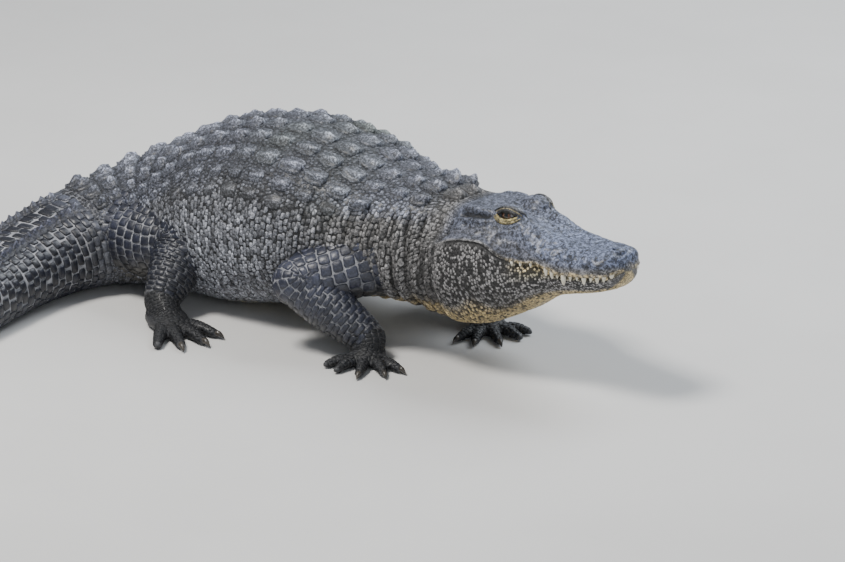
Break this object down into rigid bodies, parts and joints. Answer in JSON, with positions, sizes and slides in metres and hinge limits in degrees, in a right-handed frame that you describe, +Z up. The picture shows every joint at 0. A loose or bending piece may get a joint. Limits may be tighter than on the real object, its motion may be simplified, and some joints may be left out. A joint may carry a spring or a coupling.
{
  "type": "american alligator",
  "caption": "Life-size still model of an adult American alligator resting on its belly with chest and head raised and the tail curved round to its right",
  "frame": {"origin": "on the floor, at the middle of the belly's flat where the animal rests", "axes": "+X forward along the front of the trunk, +Y the animal's left, +Z up"},
  "size_m": [1.6677, 1.5039, 0.3774],
  "materials": {
    "hide": "damp slate-grey to blue-black scales with paler grey skin between them",
    "head_hide": "smooth blue-grey head skin, finely mottled, low satin",
    "jaw_hide": "pebbled grey jaw skin turning cream-yellow along the lip and under the throat",
    "scute": "horny keeled back plates, blue-grey with pale worn edges",
    "eye": "wet red-brown eye with a dark upright slit pupil",
    "tooth": "ivory teeth, satin",
    "claw": "dark brown horn, satin"
  },
  "bodies": {
    "root": {"head": "head_hide", "lower_jaw": "jaw_hide", "eye_left": "eye", "eye_right": "eye", "neck": "hide", "torso": "hide", "tail_1": "hide", "tail_2": "hide", "tail_3": "hide", "tail_4": "hide", "upper_arm_left": "hide", "upper_arm_right": "hide", "forearm_left": "hide", "forearm_right": "hide", "hand_left": "hide", "hand_right": "hide", "thigh_left": "hide", "thigh_right": "hide", "shank_left": "hide", "shank_right": "hide", "foot_left": "hide", "foot_right": "hide"}
  },
  "joints": []
}
